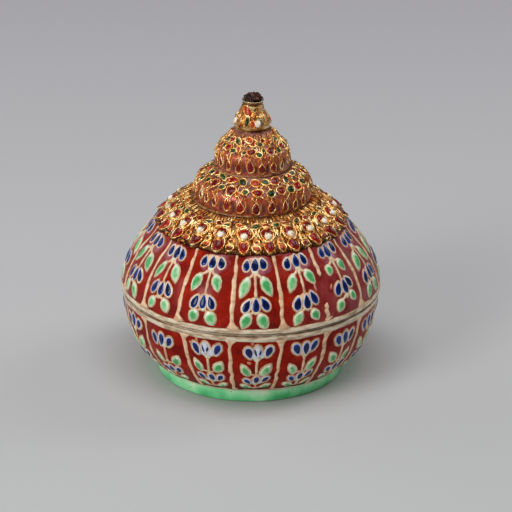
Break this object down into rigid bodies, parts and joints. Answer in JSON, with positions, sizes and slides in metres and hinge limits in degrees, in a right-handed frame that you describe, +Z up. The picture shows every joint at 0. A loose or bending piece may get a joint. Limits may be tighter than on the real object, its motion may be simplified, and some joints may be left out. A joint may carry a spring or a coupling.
{
  "type": "lidded jar",
  "caption": "Small round enamelled porcelain jar with a domed lift-off lid that carries a stepped gold finial set with stones and ends in a knob.",
  "frame": {"origin": "centre of the foot ring's base, on the surface that the jar stands on", "axes": "+Z up along the axis of the jar, -Y towards the front"},
  "size_m": [0.0864, 0.0864, 0.0973],
  "materials": {
    "porcelain": "glossy red enamel over porcelain",
    "enamelled_gold": "chased gold with red and green enamel",
    "plain_gold": "polished gold",
    "pale_stone": "polished pale stone",
    "setting_compound": "rough broken resin",
    "brass_fixing": "dull brass"
  },
  "bodies": {
    "bowl": {"jar_bowl": "porcelain"},
    "lid": {"lid_dome": "porcelain", "mount_skirt": "enamelled_gold", "tier_middle": "enamelled_gold", "tier_upper": "enamelled_gold", "knob": "enamelled_gold", "knob_collar": "plain_gold", "setting_bed": "setting_compound", "finial_stud": "brass_fixing", "stud_washer": "brass_fixing", "stud_nut": "brass_fixing", "skirt_stone_1": "pale_stone", "skirt_stone_2": "pale_stone", "skirt_stone_3": "pale_stone", "skirt_stone_4": "pale_stone", "skirt_stone_5": "pale_stone", "skirt_stone_6": "pale_stone", "skirt_stone_7": "pale_stone", "skirt_stone_8": "pale_stone", "skirt_stone_9": "pale_stone", "skirt_stone_10": "pale_stone", "skirt_stone_11": "pale_stone", "skirt_stone_12": "pale_stone", "skirt_stone_13": "pale_stone", "skirt_stone_14": "pale_stone", "skirt_stone_15": "pale_stone", "skirt_stone_16": "pale_stone", "skirt_stone_17": "pale_stone", "skirt_stone_18": "pale_stone", "skirt_stone_19": "pale_stone", "skirt_stone_20": "pale_stone", "skirt_stone_21": "pale_stone", "skirt_stone_22": "pale_stone", "knob_stone_1": "pale_stone", "knob_stone_2": "pale_stone", "knob_stone_3": "pale_stone", "knob_stone_4": "pale_stone"}
  },
  "joints": [
    {"name": "lid_lift", "type": "slide", "parent": "bowl", "child": "lid", "axis": [0, 0, 1], "range_m": [0, 0.06]}
  ]
}
